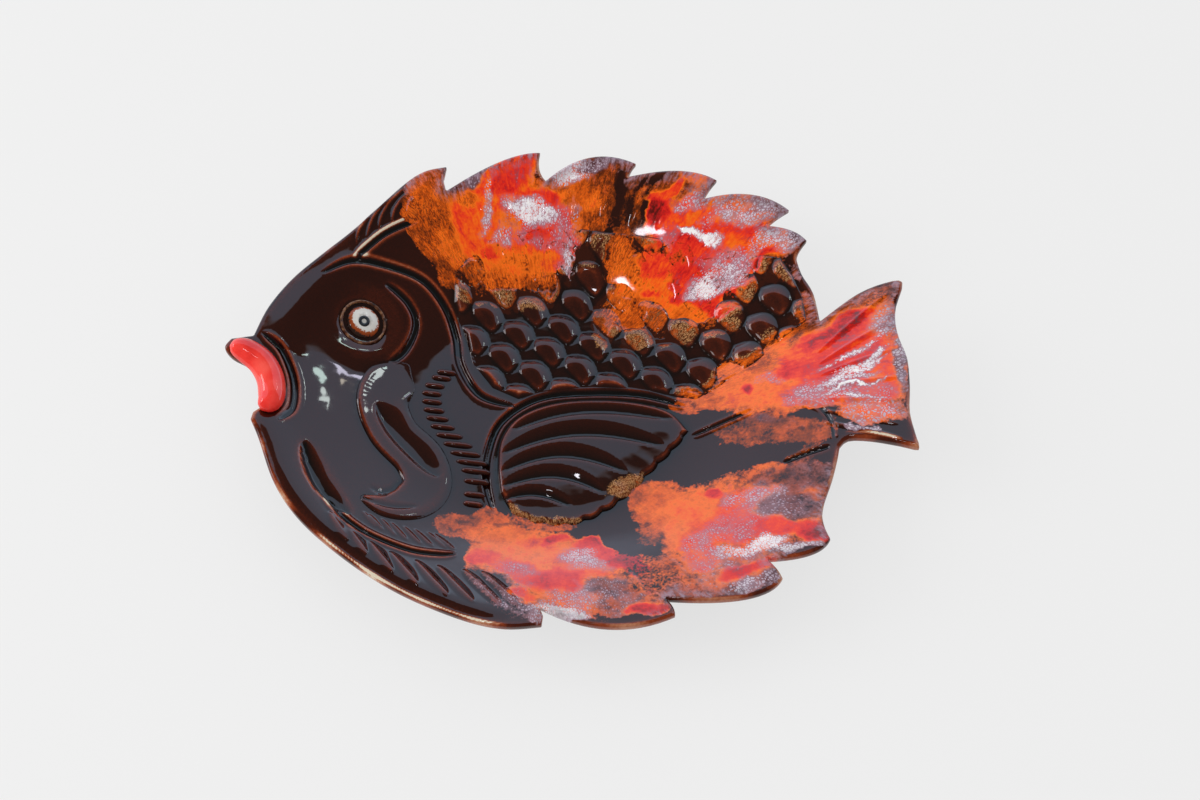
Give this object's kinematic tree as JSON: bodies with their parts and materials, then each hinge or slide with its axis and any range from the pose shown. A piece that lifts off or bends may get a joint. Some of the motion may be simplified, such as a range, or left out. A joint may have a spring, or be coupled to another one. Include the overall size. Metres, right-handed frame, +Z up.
{
  "type": "fish shaped serving platter",
  "caption": "Glazed earthenware platter in the form of a fish, a shallow oval dish with toothed fins, a tail, scales, a side fin, an eye and rolled red lips.",
  "frame": {"origin": "middle of the outline's box, on the surface that the foot ring stands on", "axes": "+X from the mouth to the tail, +Y towards the back fin, +Z up out of the dish"},
  "size_m": [0.39, 0.318, 0.0523],
  "materials": {
    "brown_glaze": "gloss",
    "orange_glaze": "gloss",
    "red_glaze": "gloss",
    "rust_glaze": "gloss",
    "cream_glaze": "gloss",
    "dark_glaze": "gloss",
    "bare_clay": "matt"
  },
  "bodies": {
    "root": {"platter_body": "brown_glaze", "foot_ring": "bare_clay", "lip_roll": "red_glaze", "eye_ring": "rust_glaze", "eye_white": "cream_glaze", "eye_pupil": "dark_glaze", "cheek_flap": "brown_glaze", "gill_ribs": "brown_glaze", "scales": "brown_glaze", "side_fin": "brown_glaze", "back_fin_rays": "orange_glaze", "tail_rays": "orange_glaze", "belly_fin_rays": "orange_glaze", "belly_barbs": "brown_glaze", "nape_rays": "brown_glaze"}
  },
  "joints": []
}
